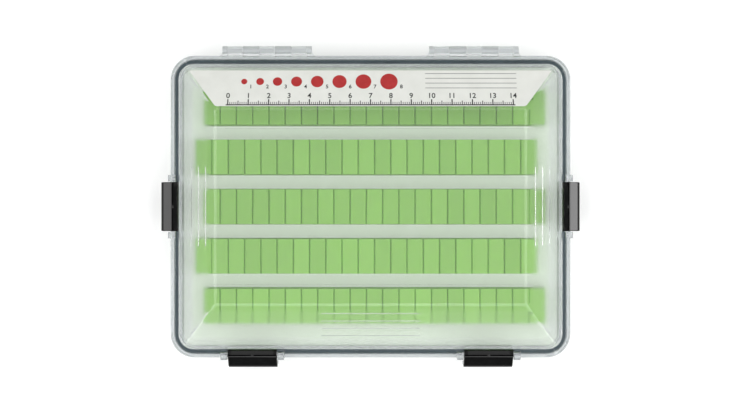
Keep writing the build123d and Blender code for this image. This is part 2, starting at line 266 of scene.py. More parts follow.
def calculate(tree, operation, first, second=0):
    """Math on two values, each a number or a socket."""
    node = add_node(tree, "Math", operation=operation)
    for socket, value in zip(node.inputs, (first, second)):
        if isinstance(value, (int, float)):
            socket.default_value = value
        else:
            tree.links.new(value, socket)
    return node.outputs[0]


# %% [markdown]
# More helpers turn such values into a colour, a bump or a setting of the shader. Most finishes of the box are
# opaque and mottled: two close colours, an uneven gloss and a fine grain, all from noise.

# %% Helpers for finishes
def blend_colours(tree, source, first, second, low=0.3, high=0.7):
    """Go from the first colour to the second as a value rises."""
    ramp = add_node(tree, "ValToRGB")
    ramp.color_ramp.elements[0].position = low
    ramp.color_ramp.elements[1].position = high
    ramp.color_ramp.elements[0].color = (*first, 1)
    ramp.color_ramp.elements[1].color = (*second, 1)
    tree.links.new(source, ramp.inputs["Fac"])
    return ramp.outputs["Color"]


def add_bump(tree, shader, source, strength, distance):
    """Let noise raise the surface by a distance."""
    bump = add_node(tree, "Bump", Strength=strength, Distance=distance * MM)
    tree.links.new(source, bump.inputs["Height"])
    tree.links.new(bump.outputs["Normal"], shader.inputs["Normal"])


def set_shader(shader, **values):
    """Set inputs of a shader that are the same all over."""
    for name, value in values.items():
        shader.inputs[name.replace("_", " ")].default_value = value


def mottled(name, first, second, scale, rough, grain, **values):
    """Opaque finish of two close colours, with uneven gloss and a grain (scale, strength, height)."""
    material, tree, shader = new_finish(name)
    cloud = object_noise(tree, scale)
    tree.links.new(blend_colours(tree, cloud, first, second), shader.inputs["Base Color"])
    tree.links.new(spread(tree, cloud, rough[0], rough[1]), shader.inputs["Roughness"])
    add_bump(tree, shader, object_noise(tree, grain[0]), grain[1], grain[2])
    set_shader(shader, **values)
    return material


# %% [markdown]
# The strips are soft rubber bars with a slit every few millimetres; a jig's hook is pressed into a slit.
# One block of a strip is a cube whose top face is extruded again and again: in for the groove that snaps
# under the tray's rail, out again, then narrower so that a slit stays open between neighbours, with a
# wider mouth on top. On the way up the long sides lean in a little.

# %% One block of a strip
BLOCK_COUNT = 21
GROOVE_LOW, GROOVE_HIGH, GROOVE_DEPTH = 1.5, 2.7, 0.6
SLIT_FLOOR, SLIT_WIDTH = 3.0, 0.08
MOUTH_WIDTH, MOUTH_DEPTH = 0.95, 0.8
FLOOR_LEAN, LUG_LEAN, MOUTH_LEAN, TOP_LEAN = 0.02, 0.06, 0.36, 0.4
strip_low, strip_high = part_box("slot_strip_1")
block_pitch = (strip_high.x - strip_low.x) / MM / BLOCK_COUNT
half_pitch = block_pitch / 2
half_width = (strip_high.y - strip_low.y) / MM / 2
strip_height = (strip_high.z - strip_low.z) / MM

block = add_block("strip_block", (-half_pitch, -half_width, 0), (half_pitch, half_width, GROOVE_LOW))
pick(block, "FACE", lambda corner: corner.z > GROOVE_LOW - NEAR)
lug, mouth = half_pitch - SLIT_WIDTH / 2, half_pitch - MOUTH_WIDTH / 2
mouth_z = strip_height - MOUTH_DEPTH
block_steps = [
    (GROOVE_LOW, half_pitch, half_width - GROOVE_DEPTH),
    (GROOVE_HIGH, half_pitch, half_width - GROOVE_DEPTH),
    (GROOVE_HIGH, half_pitch, half_width),
    (SLIT_FLOOR, half_pitch, half_width - FLOOR_LEAN),
    (SLIT_FLOOR, lug, half_width - LUG_LEAN),
    (mouth_z, lug, half_width - MOUTH_LEAN),
    (strip_height, mouth, half_width - TOP_LEAN),
]
level, wide_x, wide_y = GROOVE_LOW, half_pitch, half_width
for next_level, next_x, next_y in block_steps:
    pull((0, 0, (next_level - level) * MM))
    bpy.ops.transform.resize(value=(next_x / wide_x, next_y / wide_y, 1), center_override=(0, 0, 0))
    level, wide_x, wide_y = next_level, next_x, next_y
print("block pitch", round(block_pitch, 2), "slit depth", round(strip_height - SLIT_FLOOR, 2))

# %% [markdown]
# Rubber has no sharp edges. The long shoulders get a wide rounding and the mouth of the slit a small one.
# Then the two faces where blocks meet are removed and an Array modifier lines the blocks up and welds
# them.

# %% Round the block and line up a strip
SHOULDER_ROUND, MOUTH_ROUND = 1.0, 0.25
WELD = 0.002
pick(block, "EDGE", lambda corner: corner.z > mouth_z - NEAR, along=1)
bpy.ops.mesh.bevel(offset=MOUTH_ROUND * MM, segments=3, affect="EDGES")
pick(block, "EDGE", lambda corner: corner.z > strip_height - NEAR, along=0)
bpy.ops.mesh.bevel(offset=SHOULDER_ROUND * MM, segments=4, affect="EDGES")
for side in (-1, 1):
    pick(block, "FACE", lambda corner: side * corner.x > half_pitch - NEAR)
    bpy.ops.mesh.delete(type="FACE")
deselect_all()
repeat_along_x(block, BLOCK_COUNT, block_pitch, use_merge_vertices=True, merge_threshold=WELD * MM)
strip_end = block_pitch * (BLOCK_COUNT - 0.5)
pick(block, "EDGE", lambda corner: corner.x < NEAR - half_pitch or corner.x > strip_end - NEAR)
bpy.ops.mesh.fill_holes(sides=0)
deselect_all()
block.location.x = half_pitch * (1 - BLOCK_COUNT) * MM
strip = settle(block)
smooth(strip, angle=30.0)
print("strip length", round(strip.dimensions.x / MM, 1), "faces", len(strip.data.polygons))

# %% [markdown]
# The rubber is a matt yellow-green that differs a little from block to block, as soft mouldings do. Each
# block carries a tone in an attribute, and the finish reads it: a random part, plus a painted light
# gradient that lightens the rows from the rear to the front. A little subsurface light keeps the slits
# from going black, because thin lips of rubber let light through.

# %% Green rubber
DEEP_GREEN, PALE_GREEN = (0.205, 0.44, 0.067), (0.283, 0.58, 0.1)
green_rubber, tree, shader = new_finish("green_strip_rubber")
tone_attribute = add_node(tree, "Attribute", attribute_name="block_tone_and_painted_light")
cloud = object_noise(tree, scale=220.0)
tone = calculate(tree, "ADD", tone_attribute.outputs["Fac"], spread(tree, cloud, low=-0.12, high=0.12))
green = blend_colours(tree, tone, DEEP_GREEN, PALE_GREEN, low=0.0, high=1.0)
tree.links.new(green, shader.inputs["Base Color"])
tree.links.new(spread(tree, cloud, low=0.5, high=0.65), shader.inputs["Roughness"])
add_bump(tree, shader, object_noise(tree, scale=2500.0), strength=0.3, distance=0.05)
set_shader(shader, Subsurface_Weight=0.4, Subsurface_Radius=(0.6, 1.0, 0.3), Subsurface_Scale=0.0014)
print(green_rubber.name, "has", len(tree.nodes), "nodes")

# %% [markdown]
# Five copies go into the tray. A Displace modifier with a cloud texture pushes the lugs sideways by
# tenths of a millimetre, so that no two slits are quite alike. The tones rise from row to row as painted
# light, darker at the rear and lighter at the front, and from block to block they are drawn from a seeded
# generator.

# %% Five strips
WANDER, WANDER_SIZE, LUG_START = 0.3, 5.0, 0.1
# Painted light: from the rear row to the front row the tone rises one step per row, so the rear rows look
# shaded and the front rows lit.
ROW_TONE, PAINTED_LIGHT_RISE, BLOCK_SPREAD = 0.25, 0.1, 0.24
dice = random.Random(5)
wander = bpy.data.textures.new("slit_wander", "CLOUDS")
wander.noise_scale = WANDER_SIZE * MM
for number in range(1, 6):
    node_name = f"slot_strip_{number}"
    low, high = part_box(node_name)
    piece = copy_of(strip, f"strip_row_{number}")
    piece.location = ((low.x + high.x) / 2, (low.y + high.y) / 2, low.z)
    settle(piece)
    lugs = piece.vertex_groups.new(name="lugs")
    bottom = low.z + (SLIT_FLOOR + LUG_START) * MM
    lugs.add([corner.index for corner in piece.data.vertices if corner.co.z > bottom], 1.0, "REPLACE")
    apply_modifier(
        piece, "DISPLACE", texture=wander, texture_coords="LOCAL", direction="X", strength=WANDER * MM,
        vertex_group="lugs",
    )
    # Painted light: each row is one step lighter than the row behind it.
    row_tone_with_painted_light = ROW_TONE + PAINTED_LIGHT_RISE * number
    block_tones_with_painted_light = [row_tone_with_painted_light + dice.uniform(-BLOCK_SPREAD, BLOCK_SPREAD) for block_number in range(BLOCK_COUNT)]
    values = piece.data.attributes.new("block_tone_and_painted_light", "FLOAT", "FACE")
    for face in piece.data.polygons:
        index = int((face.center.x - low.x) / MM / block_pitch)
        values.data[face.index].value = block_tones_with_painted_light[min(max(index, 0), BLOCK_COUNT - 1)]
    coat(piece, green_rubber)
    attach(piece, "tray", "strip_rubber", node_name)
bpy.data.objects.remove(strip)

# %% [markdown]
# The seal is a rubber ring in a groove of the tray's rim. A block with rounded corners is inset on both
# faces, the two inner faces are bridged into a hole, and the sharp edges are rounded.

# %% Seal ring
SEAL_WIDTH, SEAL_CORNER, SEAL_ROUND = 2.6, 10.4, 0.55
low, high = (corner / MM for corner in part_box("lid_gasket"))
seal = add_block("seal_ring", low, high)
pick(seal, "EDGE", along=2)
bpy.ops.mesh.bevel(offset=SEAL_CORNER * MM, segments=12, affect="EDGES")
pick(seal, "FACE", lambda corner: corner.z > high.z - NEAR)
bpy.ops.mesh.inset(thickness=SEAL_WIDTH * MM)
pick(seal, "FACE", lambda corner: corner.z < low.z + NEAR)
bpy.ops.mesh.inset(thickness=SEAL_WIDTH * MM)
inner_x, inner_y = high.x - SEAL_WIDTH, high.y - SEAL_WIDTH
pick(seal, "FACE", lambda corner: abs(corner.x) < inner_x + NEAR and abs(corner.y) < inner_y + NEAR)
bpy.ops.mesh.bridge_edge_loops()
deselect_all()
round_edges(seal, SEAL_ROUND, segments=3, angle=60.0)
smooth(seal)
seal_rubber = mottled(
    "dark_seal_rubber", (0.028, 0.058, 0.075), (0.042, 0.078, 0.097),
    scale=200.0, rough=(0.4, 0.55), grain=(2000.0, 0.3, 0.05),
)
coat(seal, seal_rubber)
attach(seal, "tray", "seal_rubber", "lid_gasket")

# %% [markdown]
# A snap latch is one bent piece of black plastic. Its skin starts as a sloping plane, the facet seen from
# above; the lower edge is extruded down to the foot, the bend is bevelled into a shoulder, the foot gets
# round corners, and a Solidify modifier gives it a wall. The latch is modelled with the rim's edge at the
# origin and outwards along -Y.

# %% Latch skin
LATCH_WIDTH, LATCH_SKIN, LATCH_TAPER = 24.5, 1.8, 0.6
CREASE = Vector((0, 1.75, 27.3))
SHOULDER = Vector((0, -5.0, 22.75))
FOOT = Vector((0, -4.9, 8.0))
SHOULDER_BEND, FOOT_CORNER, SKIN_EDGE = 1.6, 3.0, 0.3
facet = SHOULDER - CREASE
deselect_all()
bpy.ops.mesh.primitive_plane_add(size=1.0, location=(CREASE + SHOULDER) / 2 * MM)
latch = bpy.context.object
latch.name = "latch_model"
latch.scale = (LATCH_WIDTH * MM, facet.length * MM, 1)
latch.rotation_euler.x = math.atan2(-facet.z, -facet.y)
settle(latch)
pick(latch, "EDGE", lambda corner: corner.z < SHOULDER.z + NEAR)
pull((FOOT - SHOULDER) * MM)
narrow = 1 - 2 * LATCH_TAPER / LATCH_WIDTH
bpy.ops.transform.resize(value=(narrow, 1, 1), center_override=(0, 0, 0))
pick(latch, "EDGE", lambda corner: abs(corner.z - SHOULDER.z) < NEAR)
bpy.ops.mesh.bevel(offset=SHOULDER_BEND * MM, segments=5, affect="EDGES")
pick(latch, "VERT", lambda corner: corner.z < FOOT.z + NEAR)
bpy.ops.mesh.bevel(offset=FOOT_CORNER * MM, segments=6, affect="VERTICES")
face_outwards()
apply_modifier(latch, "SOLIDIFY", thickness=LATCH_SKIN * MM, offset=-1.0, use_even_offset=True)
round_edges(latch, SKIN_EDGE, segments=3)
print("latch skin", [round(size / MM, 2) for size in latch.dimensions])

# %% [markdown]
# The facet stands a tenth of a millimetre proud: its face is inset and pulled out a little. The barrel
# turns on the pin. It is a cylinder whose top is flattened by scaling its upper vertices to one height,
# and turned so that this narrow band looks a little inwards over the lid.

# %% Latch facet and barrel
FACET_BORDER, FACET_HEIGHT = 0.5, 0.1
PIN_AXIS = Vector((0, 2.4, 25.7))
BARREL_RADIUS, BAND_HEIGHT, BAND_TILT, BARREL_EDGE = 2.0, 1.6, 11.5, 0.2


def add_rod(name, vertices, radius, length, middle=Vector()):
    """A rod along X."""
    deselect_all()
    bpy.ops.mesh.primitive_cylinder_add(
        vertices=vertices, radius=radius * MM, depth=length * MM, location=middle * MM,
        rotation=(0, math.radians(90), 0),
    )
    rod = bpy.context.object
    rod.name = name
    return settle(rod)


facet_normal = Vector((0, facet.z, -facet.y)).normalized()
pick(latch, "FACE", facing=facet_normal)
bpy.ops.mesh.inset(thickness=FACET_BORDER * MM, depth=FACET_HEIGHT * MM)
barrel = add_rod("barrel", 40, BARREL_RADIUS, LATCH_WIDTH - 2 * BARREL_EDGE)
pick(barrel, "VERT", lambda corner: corner.z > BAND_HEIGHT)
bpy.ops.transform.resize(value=(1, 1, 0), center_override=(0, 0, BAND_HEIGHT * MM))
pick(barrel, "FACE", lambda corner: corner.z > BAND_HEIGHT - NEAR)
bpy.ops.mesh.dissolve_limited(angle_limit=math.radians(1.0))
for side in (-1, 1):
    pick(barrel, "FACE", facing=Vector((side, 0, 0)))
    bpy.ops.mesh.inset(thickness=BARREL_EDGE * MM, depth=BARREL_EDGE * MM)
deselect_all()
barrel.rotation_euler.x = -math.radians(BAND_TILT)
barrel.location = PIN_AXIS * MM
settle(barrel)
print("barrel", [round(size / MM, 2) for size in barrel.dimensions])

# %% [markdown]
# The hook reaches in from the skin and snaps under the tray's flange. It is a block whose inner edge is
# drawn up into a wedge. The other shapes wait as plain tools: a block for the fine groove along the
# crease, turned so that the groove's floor looks outwards and stays dark, the small gate mark, the pin's
# bore, and two little pockets at the ends of the barrel.

# %% Latch hook and tools
HOOK_HALF, HOOK_ROOT, HOOK_NOSE = 9.0, -3.6, 1.0
HOOK_TOP, HOOK_THICKNESS, HOOK_EDGE = 17.1, 1.6, 0.25
CREASE_HALF, CREASE_TOP, CREASE_TURN = 0.35, 2.0, 20
CREASE_FLOOR = Vector((0, 1.75, 26.95))
GATE_LOW, GATE_HIGH, GATE_EDGE = (-0.7, 1.2, 26.6), (0.7, 2.3, 27.68), 0.3
BORE_RADIUS, BORE_LENGTH = 0.86, 1.2 * LATCH_WIDTH
POCKET_MIDDLE, POCKET_HALF = 11.2, 0.7
POCKET_Y, POCKET_Z = (2.1, 3.9), (26.8, 28.5)

hook_floor = HOOK_TOP - 2 * HOOK_THICKNESS
hook = add_block("hook", (-HOOK_HALF, HOOK_ROOT, hook_floor), (HOOK_HALF, HOOK_NOSE, HOOK_TOP))
pick(hook, "EDGE", lambda corner: corner.y > HOOK_NOSE - NEAR and corner.z < HOOK_TOP - NEAR)
bpy.ops.transform.translate(value=(0, 0, HOOK_THICKNESS * MM))
deselect_all()
round_edges(hook, HOOK_EDGE)
groove = add_block("crease_groove", (-LATCH_WIDTH, -CREASE_HALF, 0), (LATCH_WIDTH, CREASE_HALF, CREASE_TOP))
groove.rotation_euler.x = math.radians(CREASE_TURN)
groove.location = CREASE_FLOOR * MM
settle(groove)
gate = add_block("gate_mark", GATE_LOW, GATE_HIGH)
round_edges(gate, GATE_EDGE)
bore = add_rod("bore", 32, BORE_RADIUS, BORE_LENGTH, PIN_AXIS)
pockets = []
for middle in (-POCKET_MIDDLE, POCKET_MIDDLE):
    pocket_low = (middle - POCKET_HALF, POCKET_Y[0], POCKET_Z[0])
    pocket_high = (middle + POCKET_HALF, POCKET_Y[1], POCKET_Z[1])
    pockets.append(add_block("pocket", pocket_low, pocket_high))
print("hook", [round(size / MM, 2) for size in hook.dimensions], "pockets", len(pockets))

# %% [markdown]
# Boolean modifiers make one solid of skin, barrel, hook and gate mark, and cut the groove, the bore and
# the pockets out of it.

# %% One solid latch
joined = [(barrel, "UNION"), (groove, "DIFFERENCE"), (hook, "UNION"), (gate, "UNION"), (bore, "DIFFERENCE")]
for tool, operation in joined + [(pocket, "DIFFERENCE") for pocket in pockets]:
    apply_modifier(latch, "BOOLEAN", object=tool, operation=operation, solver="EXACT")
    bpy.data.objects.remove(tool)
smooth(latch, angle=32.0)
print("latch", [round(size / MM, 2) for size in latch.dimensions], "faces", len(latch.data.polygons))

# %% [markdown]
# The black plastic is a satin moulding: almost black, with uneven gloss and a fine spark-eroded grain.
# The facet is polished, and from the shoulder down the skin is matt, which gives the side latches their
# dark outer edge. Four copies are turned to their sides and moved so that the rim's edge, 5 mm inside the
# CAD latch's outer face, falls on the model's origin.

# %% Four latches
LATCH_REACH = 5.0
MATT_BELOW, MATT_BLUR, MATT_GLOSS, FACET_GLOSS = 24.0, 0.2, 0.08, 0.5
LATCH_TURNS = {"latch_left": -90, "latch_right": 90, "latch_front_left": 0, "latch_front_right": 0}
black_plastic = mottled(
    "black_latch_plastic", (0.002, 0.0021, 0.0021), (0.004, 0.0043, 0.0043),
    scale=300.0, rough=(0.1, 0.17), grain=(3500.0, 0.12, 0.03),
)
tree = black_plastic.node_tree
height = object_axes(tree)["Z"]
gloss = spread(tree, height, MATT_GLOSS, FACET_GLOSS, (MATT_BELOW - MATT_BLUR) * MM, MATT_BELOW * MM)
tree.links.new(gloss, tree.nodes["Principled BSDF"].inputs["Specular IOR Level"])
coat(latch, black_plastic)
for node_name, turn in LATCH_TURNS.items():
    low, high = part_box(node_name)
    turn = math.radians(turn)
    outward = Vector((math.sin(turn), -math.cos(turn), 0))
    extent = abs(outward.dot(high - low))
    piece = copy_of(latch, node_name.replace("latch", "snap_latch"))
    piece.rotation_euler.z = turn
    piece.location = (low + high) / 2 + outward * (extent / 2 - LATCH_REACH * MM)
    piece.location.z = 0
    settle(piece)
    attach(piece, node_name, "latch_plastic", node_name)
bpy.data.objects.remove(latch)

# %% [markdown]
# Tray and lid are clear injection mouldings. Their CAD shapes are right, but every edge is sharp and so
# shows no glint. A copy of each mesh is welded and a Bevel modifier rounds every edge by a tenth of a
# millimetre, as the polished mould does. The flat triangles are kept as they are, because large faces
# with holes bevel badly.

# %% Soft copies of the clear mouldings
MOULD_EDGE, SLIVER = 0.12, 0.001
mouldings = {}
for node_name in ("base_tray", "lid"):
    piece = copy_of(frame["nodes"][node_name], node_name + "_moulding")
    bpy.ops.object.parent_clear(type="CLEAR_KEEP_TRANSFORM")
    bpy.ops.mesh.customdata_custom_splitnormals_clear()
    pick(piece, "FACE")
    bpy.ops.mesh.remove_doubles(threshold=WELD * MM)
    deselect_all()
    round_edges(piece, MOULD_EDGE, segments=3, angle=15.0)
    pick(piece, "FACE")
    bpy.ops.mesh.dissolve_degenerate(threshold=SLIVER * MM)
    deselect_all()
    smooth(piece, angle=35.0)
    mouldings[node_name] = piece
    print(piece.name, "has", len(piece.data.polygons), "faces")

# %% [markdown]
# Moulds are not polished alike all over, so the clear plastic needs to know where a point lies. The masks
# below are made of Object coordinates: one rises outside a rectangle round the centre, and one falls to 0
# along the mitres between the bevels. Another helper tells kinds of rays apart.

# %% Masks for the clear plastic
PANEL_X, PANEL_Y = 76.5, 48.0
BEVEL_RUN, BEVEL_RISE, SIDE_RUN = 20.5, 7.0, 15.5
print("panel", 2 * PANEL_X, "x", 2 * PANEL_Y, "mm, bevels", BEVEL_RUN, "and", SIDE_RUN, "mm wide")


def ray_kind(tree, *kinds):
    """1 for rays of these kinds and 0 for all others."""
    path = add_node(tree, "LightPath")
    reached = path.outputs[kinds[0]]
    for kind in kinds[1:]:
        reached = calculate(tree, "MAXIMUM", reached, path.outputs[kind])
    return reached


def past_edges(tree, half_x, half_y):
    """How far a point lies outside a rectangle round the centre, along X and along Y."""
    axes = object_axes(tree)
    past_x = calculate(tree, "SUBTRACT", calculate(tree, "ABSOLUTE", axes["X"]), half_x * MM)
    past_y = calculate(tree, "SUBTRACT", calculate(tree, "ABSOLUTE", axes["Y"]), half_y * MM)
    return past_x, past_y


def rim_mask(tree, half_x, half_y, blur):
    """0 inside a rectangle round the centre, rising to 1 outside it."""
    past = calculate(tree, "MAXIMUM", *past_edges(tree, half_x, half_y))
    return spread(tree, past, 0.0, 1.0, 0.0, blur * MM)


def mitre_mask(tree, width):
    """0 on the four mitres between the bevels, rising to 1 beside them."""
    past_x, past_y = past_edges(tree, PANEL_X, PANEL_Y)
    along_x = calculate(tree, "MULTIPLY", past_x, BEVEL_RUN)
    along_y = calculate(tree, "MULTIPLY", past_y, SIDE_RUN)
    apart = calculate(tree, "ABSOLUTE", calculate(tree, "SUBTRACT", along_x, along_y))
    reach = width * MM * math.hypot(BEVEL_RUN, SIDE_RUN)
    return spread(tree, apart, 0.0, 1.0, reach / 2, reach)


# %% [markdown]
# Clear plastic is a Principled shader with full transmission. Light that falls on what lies inside should
# pass straight through, so shadow rays and diffuse rays see a Transparent shader instead; otherwise the
# renderer would have to find the lamps through two refractions and the inside would be dark and noisy.
# The flange, the ledge outside the bevels and the hinges are a little greyer, as painted shade; the bevels
# and the hinges are dulled by the mould's finer grain, the mitres stay polished, and the tray inside the
# ledge is tinted green, as painted light that stands in for the green light the strips throw onto it.

# %% Clear plastic
LEDGE_X, LEDGE_Y, LEDGE_BLUR = 91.5, 68.0, 1.5
BEVEL_START, BEVEL_BLUR, MITRE_WIDTH = 1.0, 3.0, 0.8
RIM_REAR, HINGE_BLUR, HINGE_HAZE = 75.5, 1.0, 0.4
ACRYLIC_IOR, WAVE = 1.49, 0.05
PASSING_LIGHT = (0.95, 0.96, 0.955, 1)


def clear_plastic(name, tint, rim_painted_shade, clearness, rough, frost):
    """Clear moulded plastic, frosted on the bevels and hazy at the hinges, that lets lamps through."""
    material, tree, shader = new_finish(name)
    rim = rim_mask(tree, LEDGE_X, LEDGE_Y, LEDGE_BLUR)
    # Painted shade: outside the ledge the colour turns greyer, over the flange, the ledge and the hinges.
    tree.links.new(blend_colours(tree, rim, tint, rim_painted_shade, 0.0, 1.0), shader.inputs["Base Color"])
    set_shader(shader, Transmission_Weight=clearness, IOR=ACRYLIC_IOR)
    scuffs = spread(tree, object_noise(tree, scale=900.0, stretch=(1.0, 0.25, 1.0)), rough[0], rough[1])
    off_panel = rim_mask(tree, PANEL_X + BEVEL_START, PANEL_Y + BEVEL_START, BEVEL_BLUR)
    on_bevel = calculate(tree, "SUBTRACT", off_panel, rim)
    off_mitre = calculate(tree, "MULTIPLY", on_bevel, mitre_mask(tree, MITRE_WIDTH))
    dullness = calculate(tree, "MULTIPLY", off_mitre, frost)
    rear = object_axes(tree)["Y"]
    behind = spread(tree, rear, 0.0, HINGE_HAZE, RIM_REAR * MM, (RIM_REAR + HINGE_BLUR) * MM)
    hazed = calculate(tree, "ADD", scuffs, calculate(tree, "MAXIMUM", dullness, behind))
    tree.links.new(hazed, shader.inputs["Roughness"])
    add_bump(tree, shader, object_noise(tree, scale=60.0, detail=2.0), strength=WAVE, distance=0.1)
    open_way = add_node(tree, "BsdfTransparent", Color=PASSING_LIGHT)
    mix = add_node(tree, "MixShader")
    tree.links.new(ray_kind(tree, "Is Shadow Ray", "Is Diffuse Ray"), mix.inputs[0])
    tree.links.new(shader.outputs[0], mix.inputs[1])
    tree.links.new(open_way.outputs[0], mix.inputs[2])
    tree.links.new(mix.outputs[0], tree.nodes["Material Output"].inputs["Surface"])
    return material


clear_lid = clear_plastic(
    "clear_lid_plastic", tint=(0.965, 0.985, 0.965), rim_painted_shade=(0.81, 0.825, 0.835),
    clearness=0.97, rough=(0.01, 0.04), frost=0.18,
)
# Painted light: the tray's green tint stands in for the green light that the strips throw onto its floor and
# walls.
clear_tray = clear_plastic(
    "clear_tray_plastic", tint=(0.885, 0.965, 0.835), rim_painted_shade=(0.80, 0.815, 0.825),
    clearness=0.9, rough=(0.03, 0.09), frost=0.0,
)
coat(mouldings["base_tray"], clear_tray)
attach(mouldings["base_tray"], "tray", "clear_tray", "base_tray")
coat(mouldings["lid"], clear_lid)
attach(mouldings["lid"], "lid", "clear_lid", "lid")

# %% [markdown]
# The pins keep their CAD meshes: plain rods in round holes. The latch pins are drawn steel wire with a
# fine, uneven gloss; the hinge pins are clear rods.

# %% Pins
steel_wire = mottled(
    "steel_wire", (0.5, 0.51, 0.53), (0.62, 0.63, 0.64),
    scale=900.0, rough=(0.22, 0.36), grain=(3000.0, 0.2, 0.02), Metallic=1.0,
)
pin_finishes = {"pin_steel": steel_wire, "pin_clear": clear_lid}
for row in frame["record"]["subparts"]:
    if row["material_slot"] in pin_finishes:
        frame["nodes"][row["node"]].material_slots[0].material = pin_finishes[row["material_slot"]]
        print(row["node"], "gets", pin_finishes[row["material_slot"]].name)

# %% [markdown]
# The sticker lies on the rear bevel. It is drawn flat, as a plane whose inner edge is narrowed to the
# bevel's mitres, with round corners and a paper's thickness, a hair above the plastic so that the two
# faces never lie in one place. One helper then tips everything that belongs to it onto the slope: the
# sticker's inner edge is the flat drawing's X axis.

# %% Sticker
STICKER_THICKNESS, STICKER_CORNER, GLUE = 0.25, 1.0, 0.04
slope = math.atan2(BEVEL_RISE, BEVEL_RUN)
low, high = (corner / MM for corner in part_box("label"))
sticker_depth = (high.y - low.y - STICKER_THICKNESS * math.sin(slope)) / math.cos(slope)
outer_half = high.x
inner_half = outer_half - sticker_depth * SIDE_RUN / math.hypot(BEVEL_RUN, BEVEL_RISE)
inner_edge = Vector((0, low.y, high.z - STICKER_THICKNESS * math.cos(slope)))


def tip_onto_bevel(piece):
    """Turn a flat drawing onto the rear bevel."""
    piece.rotation_euler = (-slope, 0, 0)
    piece.location = inner_edge * MM
    settle(piece)


deselect_all()
bpy.ops.mesh.primitive_plane_add(size=1.0, location=Vector((0, sticker_depth / 2, GLUE)) * MM)
sticker = bpy.context.object
sticker.name = "bevel_sticker"
sticker.scale = (2 * outer_half * MM, sticker_depth * MM, 1)
settle(sticker)
pick(sticker, "VERT", lambda corner: corner.y < NEAR)
bpy.ops.transform.resize(value=(inner_half / outer_half, 1, 1), center_override=(0, 0, 0))
pick(sticker, "VERT")
bpy.ops.mesh.bevel(offset=STICKER_CORNER * MM, segments=5, affect="VERTICES")
pick(sticker, "FACE")
pull((0, 0, (STICKER_THICKNESS - GLUE) * MM))
face_outwards()
tip_onto_bevel(sticker)
paper = mottled(
    "sticker_paper", (0.77, 0.78, 0.73), (0.82, 0.83, 0.78),
    scale=150.0, rough=(0.35, 0.45), grain=(1800.0, 0.15, 0.02),
)
coat(sticker, paper)
attach(sticker, "lid", "label_paper", "label")

# %% [markdown]
# The print is plain: marks are thin blocks, repeated by an Array modifier, numbers are text turned into
# meshes, and dots are discs. Each is drawn flat on the sticker's face. All of one ink is then joined into
# one piece and tipped onto the bevel with the same helper as the sticker.

# %% Helpers for the print
INK, INK_ROOT, BOLD, PRINT_WELD = 0.03, 0.01, 0.06, 0.005
PRINT_FLOOR = STICKER_THICKNESS


def marks(name, middle, bottom, width, height, count=1, pitch=1):
    """A row of equal bars, from the middle of the first one."""
    left = middle - width / 2
    low = (left, bottom, PRINT_FLOOR - INK_ROOT)
    bar = add_block(name, low, (left + width, bottom + height, PRINT_FLOOR + INK))
    repeat_along_x(bar, count, pitch)
    return bar


def numeral(value, x, y, size):
    """A plain number centred on a point."""
    deselect_all()
    bpy.ops.object.text_add(location=Vector((x, y, PRINT_FLOOR + INK / 2)) * MM)
    text = bpy.context.object
    text.data.body = str(value)
    text.data.size = size * MM
    text.data.align_x = "CENTER"
    text.data.align_y = "CENTER"
    text.data.extrude = INK / 2 * MM
    text.data.offset = BOLD * MM
    text.data.resolution_u = 4
    bpy.ops.object.convert(target="MESH")
    printed = settle(bpy.context.object)
    pick(printed, "VERT")
    bpy.ops.mesh.remove_doubles(threshold=PRINT_WELD * MM)
    bpy.ops.mesh.dissolve_degenerate(threshold=PRINT_WELD * MM)
    deselect_all()
    return printed


def dot(x, y, radius):
    """A filled dot."""
    deselect_all()
    bpy.ops.mesh.primitive_circle_add(
        vertices=40, radius=radius * MM, fill_type="NGON", location=Vector((x, y, PRINT_FLOOR)) * MM
    )
    disc = settle(bpy.context.object)
    pick(disc, "FACE")
    pull((0, 0, INK * MM))
    face_outwards()
    return disc


def ink(name, first, second):
    """Printing ink of two close colours."""
    return mottled(name, first, second, scale=400.0, rough=(0.35, 0.5), grain=(2500.0, 0.1, 0.01))


def ink_piece(name, parts, finish):
    """Join marks of one ink and lay them on the sticker."""
    deselect_all()
    for part in parts:
        part.select_set(True)
    bpy.context.view_layer.objects.active = parts[0]
    bpy.ops.object.join()
    piece = bpy.context.object
    piece.name = name
    coat(piece, finish)
    tip_onto_bevel(piece)
    attach(piece, "lid", "label_paper")


# %% [markdown]
# Along the inner edge runs a ruler of 14 centimetres in black. Behind it come red dots of rising size,
# numbered in black, for sizes of jigs, and grey lines to write on.

# %% Ruler, dots and lines
RULER_HALF, RULER_FOOT, BASE_FOOT, BASE_HEIGHT, BASE_SPARE = 70, 0.9, 0.4, 0.55, 1
RULER_BARS = [("millimetres", 1, 0.3, 1.3), ("half_centimetres", 5, 0.4, 2.0), ("centimetres", 10, 0.55, 2.8)]
RULER_NUMBER_Y, RULER_NUMBER_SIZE = 5.5, 3.8
DOT_COUNT, DOT_START, DOT_Y, DOT_GAP, DOT_SMALLEST, DOT_RISE = 8, -66.0, 13.2, 2.2, 1.1, 0.4
DOT_NUMBER_GAP, DOT_NUMBER_Y, DOT_NUMBER_SIZE = 1.8, 10.4, 2.8
LINE_MIDDLE, LINE_LENGTH, LINE_HEIGHT = 49.5, 45, 0.3
LINE_LEVELS = (9.6, 12.2, 14.8, 17.4)

